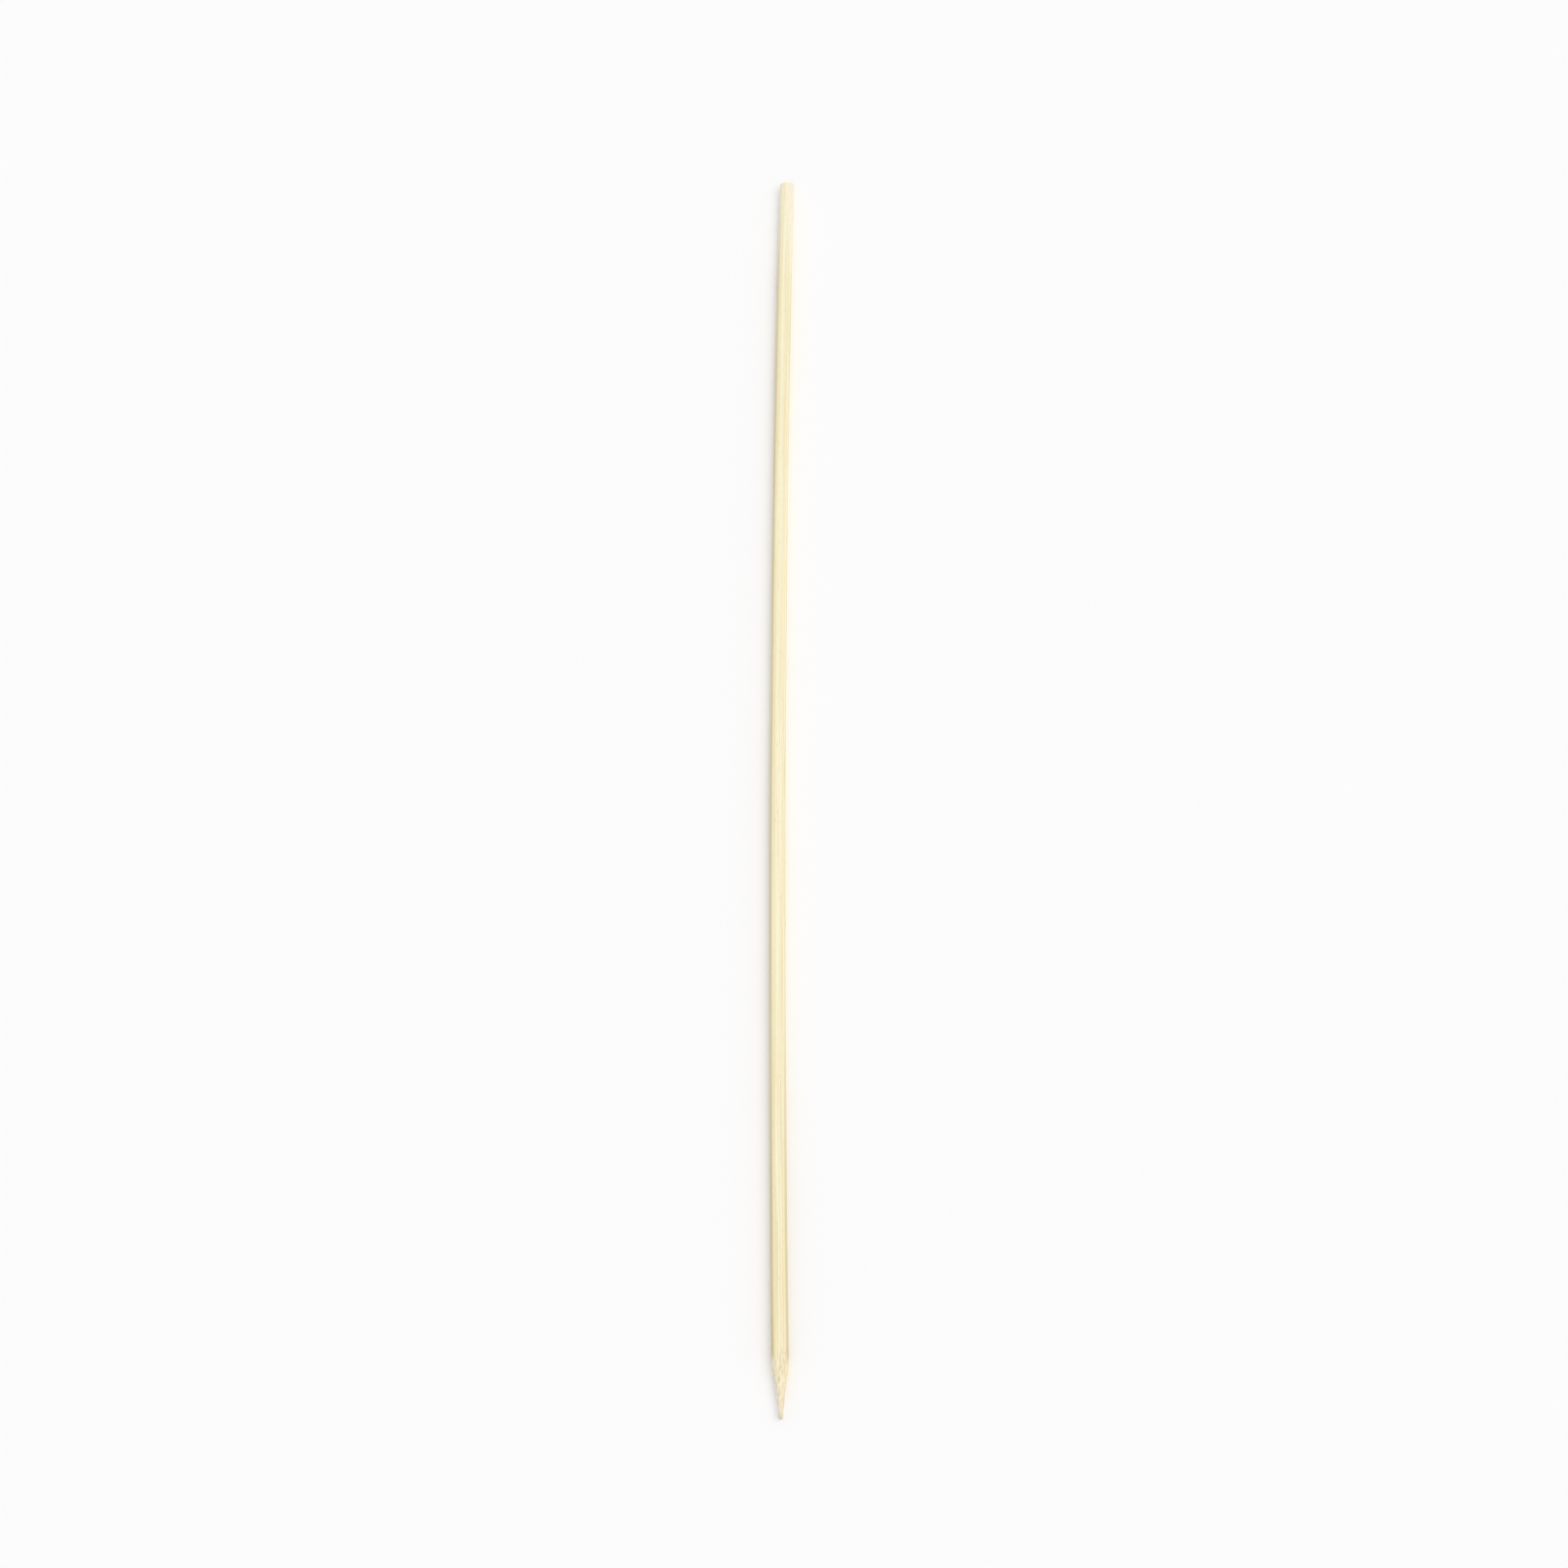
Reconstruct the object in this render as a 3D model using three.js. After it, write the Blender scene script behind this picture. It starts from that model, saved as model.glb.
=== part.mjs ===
// A bamboo candy floss stick, lying on its lower flat with the point towards -Y.
// Millimetres, +Z up, with the origin on the surface it lies on, under the middle of its box.
// The stick is one strip of split bamboo. Its sides are planed round, the two faces of the strip
// stay flat, one end is ground to a point and the other is sawn square.
import * as THREE from "three";

// Driving dimensions
const stickLength = 400; // tip of the point to the sawn end
const roundWidth = 4.7; // across the two planed sides
const stripThickness = 3.8; // from the lower flat to the upper flat
const flatEdgeBlend = 0.1; // how high the edge between a flat and a side rolls over
const sidewaysBow = 1.8; // how far the middle stands out to -X of a line through the ends
const pointLength = 18; // from the tip back to where the grinding leaves the sides
const shoulderLength = 6; // the last stretch of the grinding, which curves into the sides
const shoulderWidth = 4.05; // across the point where that curve starts
const pointHollow = 0.15; // how far the grinding is hollow between the tip and that curve
const tipWidth = 1.2; // across the worn tip
const tipRadius = 0.35; // the worn edge round the tip
const sawnEdge = 0.25; // the edge that tumbling takes off the sawn end

// How finely the curved shapes are divided
const stations = 40; // steps along the stick, which let it bow
const curvePieces = 6; // pieces in each curve of the outline
const turnPieces = 60; // pieces around the section

const sideRadius = roundWidth / 2;
const halfThickness = stripThickness / 2;
const tipY = -stickLength / 2;
const sawnY = stickLength / 2;

// Half of the stick's outline, seen on its flat: from the tip along one side to the sawn end
function sideOutline() {
  const tipHalf = tipWidth / 2;
  const shoulderHalf = shoulderWidth / 2;
  const coneEndY = tipY + pointLength - shoulderLength;
  const hollowY = (tipY + coneEndY) / 2;
  const hollowHalf = (tipHalf + shoulderHalf) / 2 - 2 * pointHollow;
  const tipSlope = (hollowHalf - tipHalf) / (hollowY - tipY);
  const leanY = coneEndY + ((sideRadius - shoulderHalf) * (coneEndY - hollowY)) / (shoulderHalf - hollowHalf);
  const sideStartY = tipY + pointLength;
  const sideEndY = sawnY - sawnEdge;
  const outline = new THREE.Path();
  outline.moveTo(0, tipY);
  outline.lineTo(tipHalf - tipRadius, tipY);
  outline.quadraticCurveTo(tipHalf, tipY, tipHalf + tipSlope * tipRadius, tipY + tipRadius);
  outline.quadraticCurveTo(hollowHalf, hollowY, shoulderHalf, coneEndY);
  outline.quadraticCurveTo(sideRadius, leanY, sideRadius, sideStartY);
  for (let i = 1; i <= stations; i++)
    outline.lineTo(sideRadius, sideStartY + ((sideEndY - sideStartY) * i) / stations);
  outline.absarc(sideRadius - sawnEdge, sideEndY, sawnEdge, 0, Math.PI / 2);
  outline.lineTo(0, sawnY);
  return outline.getPoints(curvePieces);
}

// How much the tumbled edge has taken off the wood at a place along the stick
function edgeLoss(y) {
  const into = Math.min(1, Math.max(0, 1 - (sawnY - y) / sawnEdge));
  return sawnEdge * (1 - Math.sqrt(1 - into ** 2));
}

// Brings a height down to the flat, easing over the edge within the blend
function planed(height, flat) {
  const eased = Math.max(0, flatEdgeBlend - Math.abs(height - flat));
  return Math.min(height, flat) - eased ** 2 / (4 * flatEdgeBlend);
}

// Planes the two flats on the round stick and gives it its bow
function shaped(geometry) {
  const position = geometry.attributes.position;
  for (let i = 0; i < position.count; i++) {
    const y = position.getY(i);
    const z = position.getZ(i);
    const flat = halfThickness - edgeLoss(y);
    position.setZ(i, Math.sign(z) * planed(Math.abs(z), flat));
    position.setX(i, position.getX(i) - sidewaysBow * (1 - (y / sawnY) ** 2));
  }
  return geometry;
}

function bambooStick() {
  const geometry = shaped(new THREE.LatheGeometry(sideOutline(), turnPieces));
  geometry.computeBoundingBox();
  const { min, max } = geometry.boundingBox;
  geometry.translate(-(min.x + max.x) / 2, 0, -min.z);
  geometry.computeVertexNormals();
  const bamboo = new THREE.MeshStandardMaterial({ color: 0xf3e6bd, roughness: 0.6, metalness: 0 });
  const stick = new THREE.Mesh(geometry, bamboo);
  stick.name = "bamboo_stick";
  return stick;
}

const candyFlossStick = new THREE.Group();
candyFlossStick.add(bambooStick());

export default candyFlossStick;
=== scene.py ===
# A bamboo candy floss stick, lying on its lower flat with its point towards the camera.
# Metres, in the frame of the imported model. The stick is shaped in millimetres and brought to
# metres when it is done.
import math

import bmesh
import bpy
import numpy as np
from mathutils import Matrix, Vector


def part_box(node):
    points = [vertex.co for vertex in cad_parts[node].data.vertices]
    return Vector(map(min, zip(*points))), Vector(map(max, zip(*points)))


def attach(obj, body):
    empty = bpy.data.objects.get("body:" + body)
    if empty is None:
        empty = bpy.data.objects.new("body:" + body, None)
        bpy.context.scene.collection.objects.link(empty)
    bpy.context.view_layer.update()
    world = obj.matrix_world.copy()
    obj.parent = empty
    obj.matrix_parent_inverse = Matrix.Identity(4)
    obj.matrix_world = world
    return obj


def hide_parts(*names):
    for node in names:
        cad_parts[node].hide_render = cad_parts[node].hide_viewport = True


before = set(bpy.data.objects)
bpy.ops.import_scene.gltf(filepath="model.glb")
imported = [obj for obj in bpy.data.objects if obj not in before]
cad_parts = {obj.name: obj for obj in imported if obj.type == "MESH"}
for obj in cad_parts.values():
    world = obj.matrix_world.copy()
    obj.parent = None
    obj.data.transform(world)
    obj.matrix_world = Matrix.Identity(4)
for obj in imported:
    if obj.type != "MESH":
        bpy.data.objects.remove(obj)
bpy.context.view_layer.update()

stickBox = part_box("bamboo_stick")
scene = bpy.context.scene
millimetre = 0.001
print("frame loaded, stick box", [round(v / millimetre, 2) for v in (*stickBox[0], *stickBox[1])])


def addObject(name, data):
    made = bpy.data.objects.new(name, data)
    scene.collection.objects.link(made)
    return made


def toMesh(shape, name):
    mesh = bpy.data.meshes.new(name)
    shape.to_mesh(mesh)
    shape.free()
    return mesh


# The camera

cameraView = {
    "azimuth": 0.262, "elevation": 66.0,  # degrees round the stick and above the floor
    "distance": 0.76,
    "aim": (0.0009, -0.0152, 0.0019),  # the point that the middle of the picture shows
    "lens": 59.2, "sensor": 36.0,
    "nearest": 0.01, "farthest": 20.0,  # it sees what lies between
}


def makeCamera():
    view = cameraView
    cameraData = bpy.data.cameras.new("camera")
    cameraData.lens, cameraData.sensor_width = view["lens"], view["sensor"]
    cameraData.clip_start, cameraData.clip_end = view["nearest"], view["farthest"]
    camera = addObject("camera", cameraData)
    turn, rise = math.radians(view["azimuth"]), math.radians(view["elevation"])
    back = Vector((math.sin(turn) * math.cos(rise), -math.cos(turn) * math.cos(rise), math.sin(rise)))
    camera.location = Vector(view["aim"]) + back * view["distance"]
    camera.rotation_mode = "QUATERNION"
    camera.rotation_quaternion = (-back).to_track_quat("-Z", "Y")
    scene.camera = camera


makeCamera()
print("camera placed")


# What the materials are made of

def toLinear(hexColour):
    parts = [int(hexColour[i:i + 2], 16) / 255 for i in (1, 3, 5)]
    return (*[p / 12.92 if p <= 0.04045 else ((p + 0.055) / 1.055) ** 2.4 for p in parts], 1.0)


def addNode(tree, kind, settings=None, inputs=None):
    # an input that is another node's socket is linked, and any other value is set
    node = tree.nodes.new(kind)
    for name, value in (settings or {}).items():
        setattr(node, name, value)
    for name, value in (inputs or {}).items():
        if isinstance(value, bpy.types.NodeSocket):
            tree.links.new(value, node.inputs[name])
        else:
            node.inputs[name].default_value = value
    return node


def newMaterial(name):
    material = bpy.data.materials.new(name)
    material.use_nodes = True
    material.node_tree.nodes.clear()
    return material, material.node_tree


# Planed bamboo: pale cream, a half-matt face with fine straight fibres along the stick, a few
# tan fibre bundles cut through by the plane, and a darker yellow rim on the -X side, partly the
# yellower wood nearest the skin of the cane and partly painted shade on the side away from the
# light. Where the point is ground it turns matt and pinker, with short torn fibre ends.
planedFinish = {
    "colours": {
        "pointCream": "#f7ecc5", "midCream": "#f9f1cc", "endCream": "#fdf6e5", "bandCream": "#fff8d9",
        "layerLight": "#fff9dd", "layerTan": "#efe1b4", "skinTanAndShade": "#c8a755", "sidePaintedShade": "#d2c59c",
        "fineTan": "#e9d9a8", "bundleTan": "#e8d7a4", "poreTan": "#d4bd8b",
        "groundCream": "#f8edcb", "groundLight": "#fff6d9", "groundDark": "#e4d3a1",
        # the last two are painted light and painted shade for the -X and +X halves of the point
        "groundPale": "#f4e7d3", "pointPaintedLight": "#fcfaf0", "pointPaintedShade": "#e8dcb8",
        "tornBrown": "#c9ac7a", "tipBrown": "#d6cbb6",
    },
    # Width across the grain and length along it, in millimetres, and detail. The fine streaks and
    # the pores are finer than the photo shows. The scratches of the grinding run round the point,
    # so they are long across and short along.
    "patterns": {
        "bands": (0.75, 120.0, 1.0), "streaks": (0.38, 45.0, 1.0), "fineStreaks": (0.17, 45.0, 3.0),
        "pores": (0.14, 3.0, 1.0), "scratches": (1.8, 0.16, 2.0), "spots": (0.42, 1.7, 2.0),
    },
    # The wall of the cane is layered: a light layer down the middle of the stick and a tan one to
    # each side of it, all straying together. In millimetres.
    "lightLayer": 0.0, "tanLayers": 1.15, "stray": 0.5, "strayLength": 71.43,
    # How much of a tone shows: what it follows, where it starts, where it is full, its least and
    # its most. Places are millimetres from the middle of the stick, or of a layer. A name stands
    # for a pattern or for a share above it.
    "shares": {
        "nearPoint": ("along", -60.0, -160.0, 0.0, 1.0),
        "pointTone": ("along", -85.0, -170.0, 0.0, 1.0),
        "endTone": ("along", 150.0, 200.0, 0.0, 1.0),
        "bandTone": ("bands", 0.42, 0.66, 0.0, 0.8),
        "lightLayer": ("fromMiddle", 0.0, 0.45, 0.7, 0.0),
        "tanMost": ("endTone", 0.0, 1.0, 0.45, 0.1),
        "tanLayer": ("fromTan", 0.0, 0.45, "tanMost", 0.0),
        "streakMost": ("nearPoint", 0.0, 1.0, 0.2, 0.85),
        "streakLight": ("streaks", 0.5, 0.3, 0.0, "streakMost"),
        "streakDark": ("streaks", 0.54, 0.74, 0.0, "streakMost"),
        # the -X rim: partly the yellower wood near the cane's skin, partly painted shade on the side away
        # from the light
        "skinAndShadeMost": ("bands", 0.35, 0.6, 0.85, 0.5),
        "skin": ("across", -1.4, -2.1, 0.0, "skinAndShadeMost"),
        "rim": ("endTone", 0.0, 1.0, "skin", 0.0),  # the skin's yellow and its painted shade fade out towards the sawn end
        # painted shade on the +X side, fading in towards the point
        "side": ("across", 1.25, 2.0, 0.0, "nearPoint"),
        "fine": ("fineStreaks", 0.46, 0.78, 0.0, 0.75),
        "bundle": ("fibre", 0.25, 1.0, 0.0, 0.85),
        "pore": ("pores", 0.64, 0.78, 0.0, 0.6),
        "spotLight": ("spots", 0.5, 0.7, 0.0, 0.95),
        "spotDark": ("spots", 0.46, 0.34, 0.0, 0.9),
        "tipPale": ("along", -188.0, -197.0, 0.0, 0.75),
        # painted light on the -X half of the ground point and painted shade on its +X half, stronger near
        # the tip
        "pointLightShadeMost": ("tipPale", 0.0, 0.75, 0.25, 0.8),
        "pointPaintedLight": ("across", -0.2, -1.4, 0.0, "pointLightShadeMost"),
        "pointPaintedShade": ("across", 0.1, 1.4, 0.0, "pointLightShadeMost"),
        "tip": ("along", -197.2, -200.0, 0.0, 0.8),
        "roughness": ("ground", 0.0, 1.0, 0.52, 0.78),  # planed and ground
    },
    # A base colour and the tones that are laid over it in turn, each with its share
    "layers": {
        # the ground point, with painted light on its -X half and painted shade on its +X half
        "groundWood": ("groundCream", (
            ("spotLight", "groundLight"), ("spotDark", "groundDark"), ("tipPale", "groundPale"),
            ("pointPaintedLight", "pointPaintedLight"), ("pointPaintedShade", "pointPaintedShade"), ("bundle", "bundleTan"))),
        "wood": ("midCream", (
            ("pointTone", "pointCream"), ("endTone", "endCream"), ("bandTone", "bandCream"),
            ("lightLayer", "layerLight"), ("tanLayer", "layerTan"),
            ("streakLight", "layerLight"), ("streakDark", "fineTan"),
            # the -X rim is partly the skin's yellow and partly painted shade
            ("rim", "skinTanAndShade"), ("side", "sidePaintedShade"),
            ("fine", "fineTan"), ("bundle", "bundleTan"), ("pore", "poreTan"),
            ("ground", "groundWood"), ("torn", "tornBrown"), ("tip", "tipBrown"))),
    },
    "bumpStrength": 0.7, "bumpDepth": 0.03,  # the depth in millimetres
    "ior": 1.5,
}


def planedBamboo():
    look = planedFinish
    material, tree = newMaterial("planedBamboo")
    grain = addNode(tree, "ShaderNodeAttribute", {"attribute_name": "grain"}).outputs["Vector"]
    place = addNode(tree, "ShaderNodeSeparateXYZ", {}, {0: grain})
    values = {"across": place.outputs["X"], "along": place.outputs["Y"]}
    for name in ("fibre", "torn", "ground"):
        values[name] = addNode(tree, "ShaderNodeAttribute", {"attribute_name": name}).outputs["Fac"]
    for name, (width, length, detail) in look["patterns"].items():
        scaled = addNode(tree, "ShaderNodeMapping", {}, {
            "Vector": grain, "Scale": (1 / width, 1 / length, 1 / width)})
        values[name] = addNode(tree, "ShaderNodeTexNoise", {}, {
            "Vector": scaled.outputs[0], "Scale": 1.0, "Detail": detail}).outputs["Fac"]

    # how far a point is from the straying light layer, and from the nearer tan layer beside it
    stray = addNode(tree, "ShaderNodeTexNoise", {"noise_dimensions": "1D"}, {
        "W": values["along"], "Scale": 1 / look["strayLength"], "Detail": 1.0})
    offset = addNode(tree, "ShaderNodeMath", {"operation": "MULTIPLY_ADD"}, {
        0: stray.outputs["Fac"], 1: look["stray"], 2: values["across"]}).outputs[0]
    middle = look["lightLayer"] + look["stray"] / 2
    for name, layer in (("fromMiddle", middle), ("fromTan", look["tanLayers"])):
        apart = addNode(tree, "ShaderNodeMath", {"operation": "SUBTRACT"}, {0: offset, 1: layer})
        offset = addNode(tree, "ShaderNodeMath", {"operation": "ABSOLUTE"}, {
            0: apart.outputs[0]}).outputs[0]
        values[name] = offset

    # tones that follow a place fade in softly
    places = ("across", "along", "fromMiddle", "fromTan")
    for name, (source, start, full, least, most) in look["shares"].items():
        fade = {"interpolation_type": "SMOOTHSTEP" if source in places else "LINEAR"}
        values[name] = addNode(tree, "ShaderNodeMapRange", fade, {
            "Value": values[source], "From Min": start, "From Max": full,
            "To Min": values.get(least, least), "To Max": values.get(most, most)}).outputs[0]
    colours = {name: toLinear(colour) for name, colour in look["colours"].items()}
    for name, (base, tones) in look["layers"].items():
        colours[name] = colours[base]
        for share, tone in tones:
            colours[name] = addNode(tree, "ShaderNodeMix", {"data_type": "RGBA"}, {
                0: values[share], 6: colours[name], 7: colours[tone]}).outputs[2]

    height = addNode(tree, "ShaderNodeMix", {"data_type": "FLOAT"}, {
        0: values["ground"], 2: values["fineStreaks"], 3: values["scratches"]})
    bump = addNode(tree, "ShaderNodeBump", {}, {
        "Height": height.outputs[0], "Strength": look["bumpStrength"],
        "Distance": look["bumpDepth"] * millimetre})
    shader = addNode(tree, "ShaderNodeBsdfPrincipled", {}, {
        "Base Color": colours["wood"], "Roughness": values["roughness"], "IOR": look["ior"],
        "Normal": bump.outputs[0]})
    addNode(tree, "ShaderNodeOutputMaterial", {}, {"Surface": shader.outputs[0]})
    return material


# Sawn end grain: matt and a little darker, with the cut fibre bundles as tan dots and the marks
# of the saw blade across them.
sawnFinish = {
    "woodCream": "#efe2bd", "dotTan": "#c6a970", "sawMark": "#e2d2a6",
    "markSize": (6.0, 1000.0, 0.25),  # millimetres across, along and up the stick
    # where a saw mark or a dot starts, where it is full, and its most
    "marks": (0.45, 0.65, 0.7), "dots": (0.35, 0.8, 0.9),
    "bumpStrength": 0.8, "bumpDepth": 0.05,  # the depth in millimetres
    "roughness": 0.85, "ior": 1.5,
}


def sawnEndGrain():
    look = sawnFinish
    material, tree = newMaterial("sawnEndGrain")
    grain = addNode(tree, "ShaderNodeAttribute", {"attribute_name": "grain"}).outputs["Vector"]
    fibre = addNode(tree, "ShaderNodeAttribute", {"attribute_name": "fibre"}).outputs["Fac"]
    # the saw went across from side to side, so its marks are long in X and narrow in Z
    scaled = addNode(tree, "ShaderNodeMapping", {}, {
        "Vector": grain, "Scale": [1 / size for size in look["markSize"]]})
    sawMarks = addNode(tree, "ShaderNodeTexNoise", {}, {
        "Vector": scaled.outputs[0], "Scale": 1.0, "Detail": 2.0}).outputs["Fac"]
    colour = toLinear(look["woodCream"])
    tones = (("sawMark", sawMarks, look["marks"]), ("dotTan", fibre, look["dots"]))
    for tone, source, (start, full, most) in tones:
        share = addNode(tree, "ShaderNodeMapRange", {}, {
            "Value": source, "From Min": start, "From Max": full, "To Max": most})
        colour = addNode(tree, "ShaderNodeMix", {"data_type": "RGBA"}, {
            0: share.outputs[0], 6: colour, 7: toLinear(look[tone])}).outputs[2]
    bump = addNode(tree, "ShaderNodeBump", {}, {
        "Height": sawMarks, "Strength": look["bumpStrength"], "Distance": look["bumpDepth"] * millimetre})
    shader = addNode(tree, "ShaderNodeBsdfPrincipled", {}, {
        "Base Color": colour, "Roughness": look["roughness"], "IOR": look["ior"],
        "Normal": bump.outputs[0]})
    addNode(tree, "ShaderNodeOutputMaterial", {}, {"Surface": shader.outputs[0]})
    return material


# Loose bamboo fibre: thin, pale and a little shiny, as it lies open to the light.
hairFinish = {"pale": "#f7ecca", "shade": "#e0cb98", "spotLength": 2.5, "roughness": 0.45, "ior": 1.5}


def looseFibre():
    look = hairFinish
    material, tree = newMaterial("looseFibre")
    place = addNode(tree, "ShaderNodeTexCoord").outputs["Object"]
    spots = addNode(tree, "ShaderNodeTexNoise", {}, {
        "Vector": place, "Scale": 1 / (look["spotLength"] * millimetre), "Detail": 2.0})
    colour = addNode(tree, "ShaderNodeMix", {"data_type": "RGBA"}, {
        0: spots.outputs["Fac"], 6: toLinear(look["pale"]), 7: toLinear(look["shade"])})
    shader = addNode(tree, "ShaderNodeBsdfPrincipled", {}, {
        "Base Color": colour.outputs[2], "Roughness": look["roughness"], "IOR": look["ior"]})
    addNode(tree, "ShaderNodeOutputMaterial", {}, {"Surface": shader.outputs[0]})
    return material


planed, sawn, fibreWood = planedBamboo(), sawnEndGrain(), looseFibre()
print("materials made")


# The stick

# All lengths in millimetres. What is drawn at random has its least and its most in brackets.
stick = {
    "length": 400.0,  # tip of the point to the sawn end
    "roundWidth": 4.7,  # across the planed sides
    "thickness": 3.8,  # between the two flats
    "flatBlend": 0.1,  # how high the edge between a flat and a side rolls over
    "bow": 1.8,  # how far the middle stands out to -X
    "pointLength": 18.0, "shoulderLength": 6.0, "shoulderWidth": 4.05, "pointHollow": 0.15,
    "tipWidth": 1.2, "tipRadius": 0.35,
    "sawnEdge": 0.25,
    "stepsAround": 148,
    "fineStretch": 8.0,  # the side next to the point, cut more finely for its torn ends
    # cuts in the tip's face, its edge, the point, the fine stretch, the side, the sawn edge and face
    "cuts": (4, 5, 118, 20, 440, 5, 20),
    "seed": 41,

    # slow waves along the stick: the height of each, how many go in the longest, and their stretch
    "waves": ((0.6, 1.0), (0.4, 2.7)), "waveStretch": (0.75, 1.3),
    # the planing leaves the sides a hair thinner in places, but not close to their ends
    "narrowing": 0.05, "narrowingWave": 170.0, "narrowingEase": 12.0,
    # waves round the stick: height, how many go round, turn for each millimetre along, and start
    "lumpWaves": ((0.25, 3, 0.9, 1.0), (0.25, 2, -1.7, 2.4)),
    "raggedWaves": ((0.8, 5, 0.0, 0.7), (0.6, 11, 0.0, 2.0), (0.5, 23, 0.0, 0.0)),
    # the grinding thins the point by up to this share, from a little above its cone to the tip
    "lumpDepth": 0.05, "lumpStart": 4.0, "lumpTip": 1.5,
    "groundStart": 4.5, "groundEase": 1.6,  # the ground face ends in a ragged line above the cone

    # the hard fibre bundles of the bamboo, in staggered rows to each side of the middle
    "bundleSpacing": 0.47, "bundleRows": 6, "rowHeight": 0.87, "bundleJitter": 0.3,
    "bundleWidth": 0.19, "bundleWidths": (0.75, 1.3), "hardness": (0.35, 0.9), "skinHardness": 0.15,
    # how far a bundle wanders, and the longest waves that it does so in, across and up
    "bundleDrift": 0.14, "driftWaves": (260.0, 210.0),
    "grainLean": 0.35,  # how far the grain leans, end to end
    "planeDepth": 0.025,  # how far the soft wood between the bundles is worn down
    "wornFrom": 0.6,  # nearer than this to the middle line, as at the tip, it is worn less

    # grooves where the plane pulled out a fibre, clear of the middle of the underside
    "grooves": {
        "count": 9, "middle": (-160.0, 170.0), "turn": (0.9, 2 * math.pi - 0.9), "half": (8.0, 26.0),
        "width": (0.09, 0.14), "fade": 1.2, "depth": 0.06, "tone": 0.7},
    # short torn fibre ends on the point, and chips between the fibres of its worn tip
    "flecks": {
        "count": 150, "half": (0.3, 1.3), "width": (0.06, 0.13), "tone": (0.2, 0.85),
        "share": (0.3, 1.0), "depth": 0.05},
    "notches": {
        "count": 9, "half": (0.35, 1.2), "width": (0.08, 0.16), "tone": (0.4, 0.8),
        "share": (0.3, 1.0), "depth": 0.16},
    # most torn ends are this far above the cone, the last are this far up the side, and the points
    # of the surface that they can reach go so far up the side and so near to the middle line
    "fleckPeak": 3.0, "fleckEnd": 2.0, "pointReach": 7.0, "tipCentre": 0.2,
    # saw marks: depth, turn for each millimetre up, height and turn of their swing from side to
    # side, and the plain rim round them
    "sawDepth": 0.05, "sawTurn": 9.0, "sawSwing": (0.6, 2.0), "sawRim": 0.3,
}
halfLength = stick["length"] / 2
sideRadius = stick["roundWidth"] / 2
halfThickness = stick["thickness"] / 2
sideStart = -halfLength + stick["pointLength"]
coneEnd = sideStart - stick["shoulderLength"]
random = np.random.default_rng(stick["seed"])


def middleAt(y):
    # the middle of the bowed stick, which fills the CAD's box from side to side
    boxMiddle = (stickBox[0].x + stickBox[1].x) / 2 / millimetre
    return boxMiddle + stick["bow"] / 2 - stick["bow"] * (1 - (y / halfLength) ** 2)


def quadratic(start, lean, end):
    # the points of a curve that leaves start towards lean and comes into end from it
    t = np.linspace(0, 1, 40)[:, None]
    return (1 - t) ** 2 * np.array(start) + 2 * t * (1 - t) * np.array(lean) + t ** 2 * np.array(end)


def outlineRadius(y):
    # half of the stick's width at places along it, without what is planed off the flats
    tipHalf, shoulderHalf = stick["tipWidth"] / 2, stick["shoulderWidth"] / 2
    hollowY = (coneEnd - halfLength) / 2
    hollowHalf = (tipHalf + shoulderHalf) / 2 - 2 * stick["pointHollow"]
    slope = (hollowHalf - tipHalf) / (hollowY + halfLength)
    leanY = coneEnd + (sideRadius - shoulderHalf) * (coneEnd - hollowY) / (shoulderHalf - hollowHalf)
    edge, wear = stick["sawnEdge"], stick["tipRadius"]
    tipCorner = (tipHalf + slope * wear, -halfLength + wear)
    turn = np.linspace(0, math.pi / 2, 20)[:, None]
    sawnArc = np.hstack([sideRadius - edge + edge * np.cos(turn), halfLength - edge + edge * np.sin(turn)])
    points = np.vstack([
        quadratic((tipHalf - wear, -halfLength), (tipHalf, -halfLength), tipCorner),
        quadratic(tipCorner, (hollowHalf, hollowY), (shoulderHalf, coneEnd)),
        quadratic((shoulderHalf, coneEnd), (sideRadius, leanY), (sideRadius, sideStart)),
        sawnArc])
    return np.interp(y, points[:, 1], points[:, 0])


def turnedStick():
    # half of the outline, cut finely where the detail is fine, and spun once round the stick
    tipHalf, wear, edge = stick["tipWidth"] / 2, stick["tipRadius"], stick["sawnEdge"]
    corners = ((0, -halfLength), (tipHalf - wear, -halfLength), (tipHalf, -halfLength + wear),
               (sideRadius, sideStart), (sideRadius, sideStart + stick["fineStretch"]),
               (sideRadius, halfLength - edge), (sideRadius - edge, halfLength), (0, halfLength))
    shape = bmesh.new()
    points = [shape.verts.new((r, y, 0)) for r, y in corners]
    lines = [shape.edges.new(pair) for pair in zip(points, points[1:])]
    for line, count in zip(lines, stick["cuts"]):
        bmesh.ops.subdivide_edges(shape, edges=[line], cuts=count)
    for vert in shape.verts:
        if abs(vert.co.y) < halfLength - 1e-4:
            vert.co.x = outlineRadius(vert.co.y)
    bmesh.ops.spin(shape, geom=shape.verts[:] + shape.edges[:], cent=(0, 0, 0), axis=(0, 1, 0),
                   dvec=(0, 0, 0), angle=2 * math.pi, steps=stick["stepsAround"],
                   use_merge=True, use_duplicate=False)
    bmesh.ops.remove_doubles(shape, verts=shape.verts, dist=1e-5)
    bmesh.ops.recalc_face_normals(shape, faces=shape.faces)
    return toMesh(shape, "bamboo_stick_planed")


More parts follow.
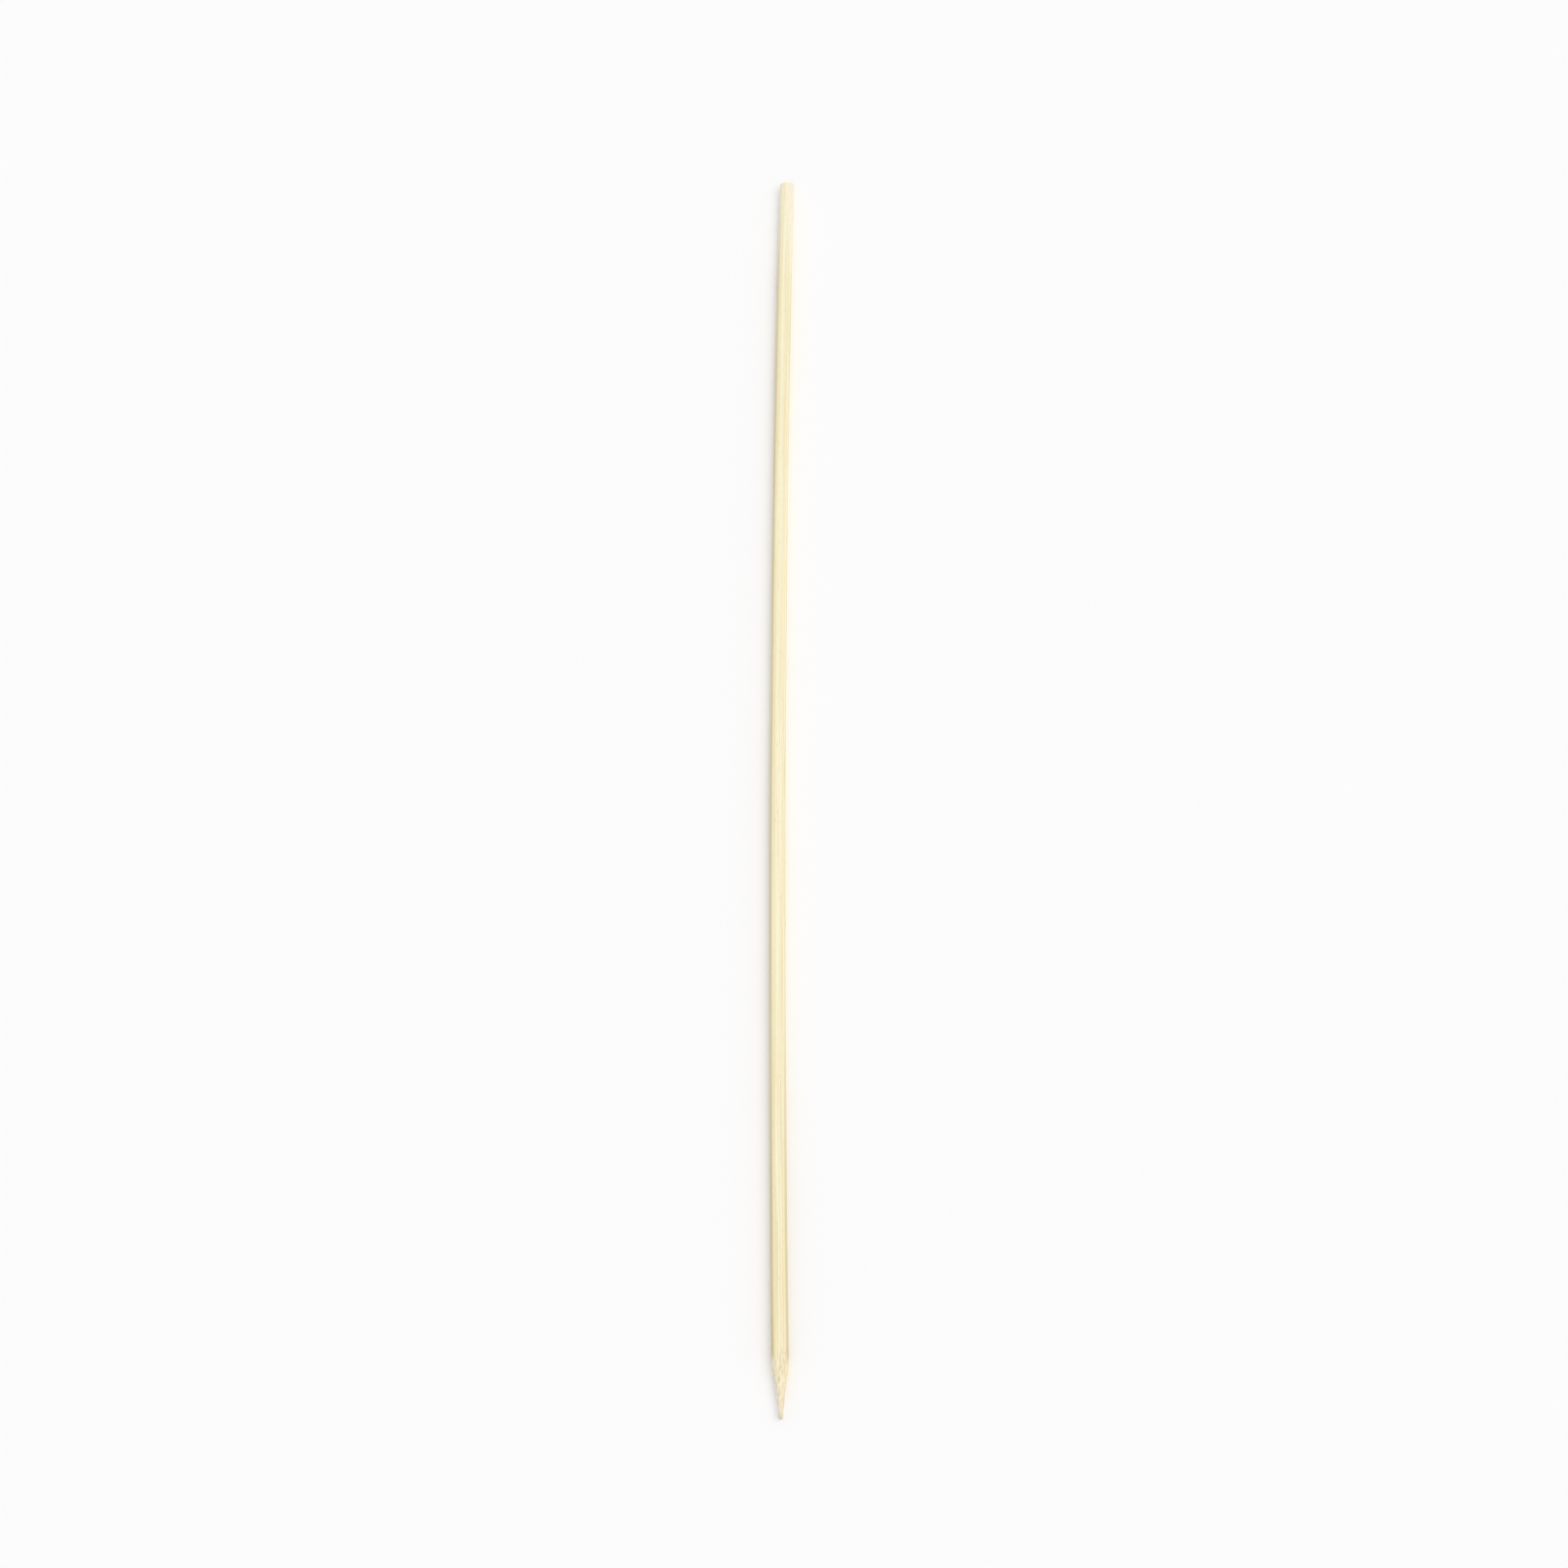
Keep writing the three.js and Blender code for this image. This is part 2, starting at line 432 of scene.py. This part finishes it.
def wander(y, count, longest):
    # slow random waves along the stick, one row for each of count, between -1 and 1
    rows = np.zeros((count, len(y)))
    for share, shorter in stick["waves"]:
        phase = random.uniform(0, 2 * math.pi, (count, 1))
        stretch = random.uniform(*stick["waveStretch"], (count, 1))
        rows += share * np.sin(2 * math.pi * y[None, :] / (longest / shorter * stretch) + phase)
    return rows


def wavesRound(turn, y, waves):
    return sum(height * np.sin(count * turn + along * y + start) for height, count, along, start in waves)


def bundleField(x, y, z):
    # how much of a hard fibre bundle shows at each point of the surface, from 0 to 1. The bundles
    # run the whole length inside the stick, so they show as lines on its sides, as long flecks
    # on the point and as dots on the sawn end
    spacing, jitter = stick["bundleSpacing"], stick["bundleJitter"]
    rows = np.arange(-stick["bundleRows"], stick["bundleRows"] + 1)
    column, row = np.meshgrid(rows, rows)
    middleX = (column + 0.5 * (row % 2)) * spacing + random.uniform(-jitter, jitter, column.shape) * spacing
    middleZ = row * spacing * stick["rowHeight"] + random.uniform(-jitter, jitter, row.shape) * spacing
    near = np.hypot(middleX, middleZ) < sideRadius + spacing
    middleX, middleZ = middleX[near], middleZ[near]
    stations = np.unique(np.round(y, 3))
    index = np.searchsorted(stations, np.round(y, 3))
    driftX, driftZ = [wander(stations, len(middleX), longest) * stick["bundleDrift"]
                      for longest in stick["driftWaves"]]
    lean = stick["grainLean"] * stations / stick["length"]
    showing = np.zeros(len(x))
    for i in range(len(middleX)):
        width = stick["bundleWidth"] * random.uniform(*stick["bundleWidths"])
        # bundles are harder towards the skin of the cane, which is the -X side
        towardsSkin = max(0.0, -middleX[i] / sideRadius)
        hard = random.uniform(*stick["hardness"]) + stick["skinHardness"] * towardsSkin
        apartX = x - middleX[i] - (driftX[i] + lean)[index]
        apartZ = z - middleZ[i] - (driftZ[i] + lean)[index]
        showing = np.maximum(showing, hard * np.exp(-(np.hypot(apartX, apartZ) / width) ** 2))
    return showing


def aroundFrom(place, turn, radius):
    # how far round the stick each point is from a place
    return np.abs((turn - place + math.pi) % (2 * math.pi) - math.pi) * radius


def tornField(turn, y, radius):
    # how torn each point of the surface is, and how far it is sunk by that
    torn, depth = np.zeros(len(y)), np.zeros(len(y))
    grooves = stick["grooves"]
    for _ in range(grooves["count"]):
        middle, place = random.uniform(*grooves["middle"]), random.uniform(*grooves["turn"])
        half, width = random.uniform(*grooves["half"]), random.uniform(*grooves["width"])
        ends = np.clip(grooves["fade"] - np.abs(y - middle) / half, 0, 1)
        cut = np.exp(-(aroundFrom(place, turn, radius) / width) ** 2) * ends
        depth = np.maximum(depth, cut * grooves["depth"])
        torn = np.maximum(torn, cut * grooves["tone"])

    atPoint = np.flatnonzero((y < sideStart + stick["pointReach"]) & (radius > stick["tipCentre"]))
    pointTurn, pointY, pointRadius = turn[atPoint], y[atPoint], radius[atPoint]
    peak, last = coneEnd + stick["fleckPeak"], sideStart + stick["fleckEnd"]
    for name in ("flecks", "notches"):
        bites = stick[name]
        for _ in range(bites["count"]):
            place = random.uniform(0, 2 * math.pi)
            middle = random.triangular(-halfLength, peak, last) if name == "flecks" else -halfLength
            half, width = random.uniform(*bites["half"]), random.uniform(*bites["width"])
            tone, sink = random.uniform(*bites["tone"]), random.uniform(*bites["share"]) * bites["depth"]
            around = aroundFrom(place, pointTurn, pointRadius)
            cut = np.exp(-(around / width) ** 2 - ((pointY - middle) / half) ** 2)
            torn[atPoint] = np.maximum(torn[atPoint], cut * tone)
            depth[atPoint] = np.maximum(depth[atPoint], cut * sink)
    return torn, depth


def planedHeight(height, flat):
    # brings a height down to the flat, easing over the edge within the blend
    eased = np.maximum(0, stick["flatBlend"] - np.abs(height - flat))
    return np.minimum(height, flat) - eased ** 2 / (4 * stick["flatBlend"])


def setAttribute(mesh, name, kind, field, values):
    layer = mesh.attributes.new(name, kind, "POINT")
    layer.data.foreach_set(field, np.ascontiguousarray(values, np.float32).ravel())


def readPlaces(mesh, field):
    values = np.empty(len(mesh.vertices) * 3, np.float32)
    mesh.vertices.foreach_get(field, values)
    return values.reshape(-1, 3).astype(float)


def makeStick():
    mesh = turnedStick()
    x, y, z = readPlaces(mesh, "co").T
    radius, turn = np.hypot(x, z), np.arctan2(x, z)
    onCap = y > halfLength - 1e-3

    # the two flats, with the edge of the sawn end carried round them. A point inside the sawn face
    # is drawn in by as much as the rim is at its angle
    edge = stick["sawnEdge"]
    into = np.clip(1 - (halfLength - y) / edge, 0, 1)
    flat = halfThickness - edge * (1 - np.sqrt(1 - into ** 2))
    toRim = np.where(onCap, (sideRadius - edge) / np.maximum(radius, 1e-6), 1.0)
    z = np.sign(z) * planedHeight(np.abs(z) * toRim, flat) / toRim

    # the planing leaves the sides a hair thinner in places, and the grinding leaves the point lumpy
    ease = stick["narrowingEase"]
    slim = stick["narrowing"] * (0.5 + 0.5 * wander(y, 1, stick["narrowingWave"])[0])
    slim = slim * np.clip((y - sideStart) / ease, 0, 1) * np.clip((halfLength - y) / ease, 0, 1)
    onPoint = np.clip((coneEnd + stick["lumpStart"] - y) / stick["lumpStart"], 0, 1)
    onPoint = onPoint * np.clip((y + halfLength) / stick["lumpTip"], 0, 1)
    lumps = stick["lumpDepth"] * onPoint * (0.5 + wavesRound(turn, y, stick["lumpWaves"]))
    x = x * (1 - slim / sideRadius) * (1 - lumps)
    z = z * (1 - lumps)

    # what shows at the surface
    fibre = bundleField(x, y, z)
    torn, tornDepth = tornField(turn, y, radius)
    ragged = wavesRound(turn, y, stick["raggedWaves"])
    ground = np.clip((coneEnd + stick["groundStart"] + ragged - y) / stick["groundEase"], 0, 1)

    # sink every face along its normal by what was worn, torn or sawn away
    moved = np.stack([x, y, z], 1)
    mesh.vertices.foreach_set("co", moved.astype(np.float32).ravel())
    mesh.update()
    normals = readPlaces(mesh, "normal")
    worn = stick["planeDepth"] * (1 - fibre) * (1 - onCap) * np.clip(radius / stick["wornFrom"], 0, 1)
    swing, swings = stick["sawSwing"]
    marks = 0.5 + 0.5 * np.sin(z * stick["sawTurn"] + swing * np.sin(x * swings))
    sawnIn = stick["sawDepth"] * marks * onCap * (radius < sideRadius - stick["sawRim"])
    moved -= normals * (worn + tornDepth * (1 - onCap) + sawnIn)[:, None]

    # the pattern of the wood keeps the place from before the bow
    grain = moved.copy()
    moved[:, 0] += middleAt(y)
    moved[:, 2] += halfThickness + stickBox[0].z / millimetre
    mesh.vertices.foreach_set("co", (moved * millimetre).astype(np.float32).ravel())
    setAttribute(mesh, "grain", "FLOAT_VECTOR", "vector", grain)
    setAttribute(mesh, "fibre", "FLOAT", "value", fibre)
    setAttribute(mesh, "torn", "FLOAT", "value", torn)
    setAttribute(mesh, "ground", "FLOAT", "value", ground)

    mesh.materials.append(planed)
    mesh.materials.append(sawn)
    for face in mesh.polygons:
        face.use_smooth = True
        face.material_index = int(all(onCap[i] for i in face.vertices))
    mesh.update()
    piece = addObject("bamboo_stick_planed", mesh)
    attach(piece, "root")
    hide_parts("bamboo_stick")
    return piece


stickPiece = makeStick()
print("stick made,", len(stickPiece.data.vertices), "points")


# Loose fibres still held at one end

# All lengths in millimetres
hairs = {
    "thickness": 0.09, "tipThickness": 0.03, "sides": 6, "cuts": 9,
    "rooted": 0.06,  # how deep the held end sits in the side
    "curl": 0.3, "bend": 1.8,  # how far it curls up or down at most, and how late it bends away
    # place along the stick, side (+1 is +X), height, length, lift away from the side
    "places": (
        (-62, 1, 2.6, 7.0, 0.8), (18, 1, 1.5, 9.0, 1.0),
        (66, 1, 2.9, 5.0, 0.6), (104, 1, 2.0, 6.0, 0.7),
        (-176, -1, 2.4, 4.5, 0.7), (-168, -1, 1.4, 6.0, 0.9),
        (158, -1, 2.2, 6.5, 0.8), (188, -1, 1.7, 4.0, 0.5)),
    "seed": 5,
}


def makeHairs():
    shape = bmesh.new()
    spread = np.random.default_rng(hairs["seed"])
    for along, side, height, length, lift in hairs["places"]:
        before = len(shape.verts)
        made = bmesh.ops.create_cone(shape, cap_ends=True, segments=hairs["sides"], depth=length,
                                     radius1=hairs["thickness"] / 2, radius2=hairs["tipThickness"] / 2)
        bmesh.ops.translate(shape, verts=made["verts"], vec=(0, 0, length / 2))
        ribs = {edge for vert in made["verts"] for edge in vert.link_edges
                if abs(edge.verts[0].co.z - edge.verts[1].co.z) > length / 2}
        bmesh.ops.subdivide_edges(shape, edges=list(ribs), cuts=hairs["cuts"])
        verts = shape.verts[:][before:]
        # laid along +Y, then curled away from the side of the stick
        bmesh.ops.rotate(shape, verts=verts, matrix=Matrix.Rotation(math.radians(-90), 3, "X"))
        curl = spread.uniform(-hairs["curl"], hairs["curl"])
        surface = math.sqrt(sideRadius ** 2 - (height - halfThickness) ** 2)
        for vert in verts:
            share = max(0.0, vert.co.y / length)
            y = along + vert.co.y
            vert.co.x += middleAt(y) + side * (surface - hairs["rooted"] + lift * share ** hairs["bend"])
            vert.co.z += height + curl * share ** 2
            vert.co.y = y
    bmesh.ops.recalc_face_normals(shape, faces=shape.faces)
    bmesh.ops.scale(shape, verts=shape.verts, vec=(millimetre,) * 3)
    mesh = toMesh(shape, "loose_fibres")
    mesh.materials.append(fibreWood)
    for face in mesh.polygons:
        face.use_smooth = True
    piece = addObject("loose_fibres", mesh)
    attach(piece, "root")


makeHairs()
print("loose fibres made")


# Floor, lamp and world

studio = {
    "floorSize": 8.0, "floorWhite": "#fcfcfd", "floorRoughness": 0.9, "floorShine": 0.1,
    "skyLight": "#f4f8ff", "skyStrength": 0.80,
    "sunFrom": (0.45, -0.15, 1.0), "sunAngle": 55.0,  # from the right, that many degrees across
    "sunStrength": 0.958, "sunColour": "#fff3dc",
}


def makeStudio():
    shape = bmesh.new()
    bmesh.ops.create_grid(shape, x_segments=1, y_segments=1, size=studio["floorSize"] / 2)
    floor = addObject("floor", toMesh(shape, "floor"))
    material, tree = newMaterial("whiteTable")
    shader = addNode(tree, "ShaderNodeBsdfPrincipled", {}, {
        "Base Color": toLinear(studio["floorWhite"]), "Roughness": studio["floorRoughness"],
        "Specular IOR Level": studio["floorShine"]})
    addNode(tree, "ShaderNodeOutputMaterial", {}, {"Surface": shader.outputs[0]})
    floor.data.materials.append(material)

    lampData = bpy.data.lights.new("softWindow", "SUN")
    lampData.angle = math.radians(studio["sunAngle"])
    lampData.energy, lampData.color = studio["sunStrength"], toLinear(studio["sunColour"])[:3]
    lamp = addObject("softWindow", lampData)
    lamp.rotation_mode = "QUATERNION"
    lamp.rotation_quaternion = (-Vector(studio["sunFrom"])).to_track_quat("-Z", "Y")

    # the world lights with the sky's tone, and the camera and reflections see the floor's white
    world = bpy.data.worlds.new("studio")
    scene.world = world
    world.use_nodes = True
    tree = world.node_tree
    tree.nodes.clear()
    light = addNode(tree, "ShaderNodeBackground", {}, {
        "Color": toLinear(studio["skyLight"]), "Strength": studio["skyStrength"]})
    white = addNode(tree, "ShaderNodeBackground", {}, {
        "Color": toLinear(studio["floorWhite"]), "Strength": 1.0})
    ray = addNode(tree, "ShaderNodeLightPath")
    seen = ray.outputs["Is Camera Ray"]
    for kind in ("Is Transmission Ray", "Is Glossy Ray"):
        seen = addNode(tree, "ShaderNodeMath", {"operation": "MAXIMUM"}, {
            0: seen, 1: ray.outputs[kind]}).outputs[0]
    both = addNode(tree, "ShaderNodeMixShader", {}, {0: seen, 1: light.outputs[0], 2: white.outputs[0]})
    addNode(tree, "ShaderNodeOutputWorld", {}, {"Surface": both.outputs[0]})


makeStudio()
scene.view_settings.view_transform = "Standard"
print("studio made")
